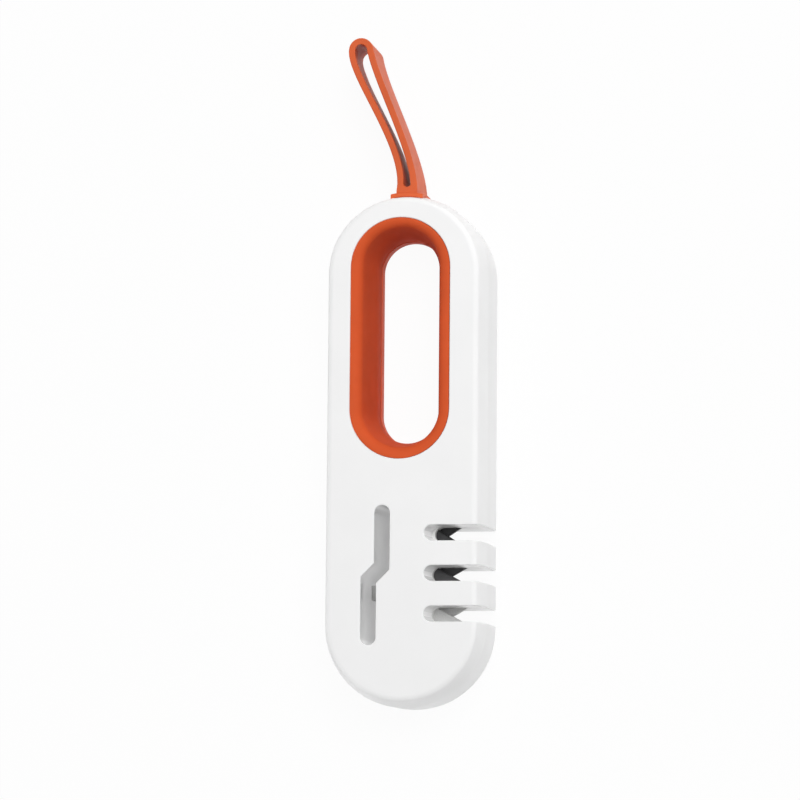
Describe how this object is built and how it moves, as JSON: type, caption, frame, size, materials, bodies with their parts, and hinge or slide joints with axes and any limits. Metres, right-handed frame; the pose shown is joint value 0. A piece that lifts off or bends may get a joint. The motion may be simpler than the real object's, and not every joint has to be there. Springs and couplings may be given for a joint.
{
  "type": "pull through knife sharpener",
  "caption": "Handheld sharpener with round ends, a lined finger opening, side slots with crossed plates, a bent scissor slot and a strap loop.",
  "frame": {"origin": "centre of the lower round end of the body, on the back face that the part lies on", "axes": "+Y along the body towards the hanging strap, +X towards the side that the knife slots open on, +Z out of the front face"},
  "size_m": [0.065, 0.2692, 0.038],
  "materials": {
    "shell": "smooth satin white moulding",
    "liner": "soft satin orange moulding",
    "holder": "matt off-white moulding",
    "carbide": "ground dark carbide",
    "diamond_steel": "fine grit on dark steel",
    "ceramic": "matt pale grey ceramic",
    "screw_steel": "zinc plated"
  },
  "bodies": {
    "root": {"front_shell": "shell", "rear_shell": "shell", "grip_liner_front": "liner", "grip_liner_rear": "liner", "hanging_strap": "liner", "holder_rear": "holder", "holder_front": "holder", "coarse_plate_near": "carbide", "coarse_plate_far": "carbide", "medium_plate_near": "diamond_steel", "medium_plate_far": "diamond_steel", "fine_plate_near": "ceramic", "fine_plate_far": "ceramic", "scissor_insert": "ceramic", "scissor_holder": "holder", "shell_screws": "screw_steel", "holder_screws": "screw_steel"}
  },
  "joints": []
}
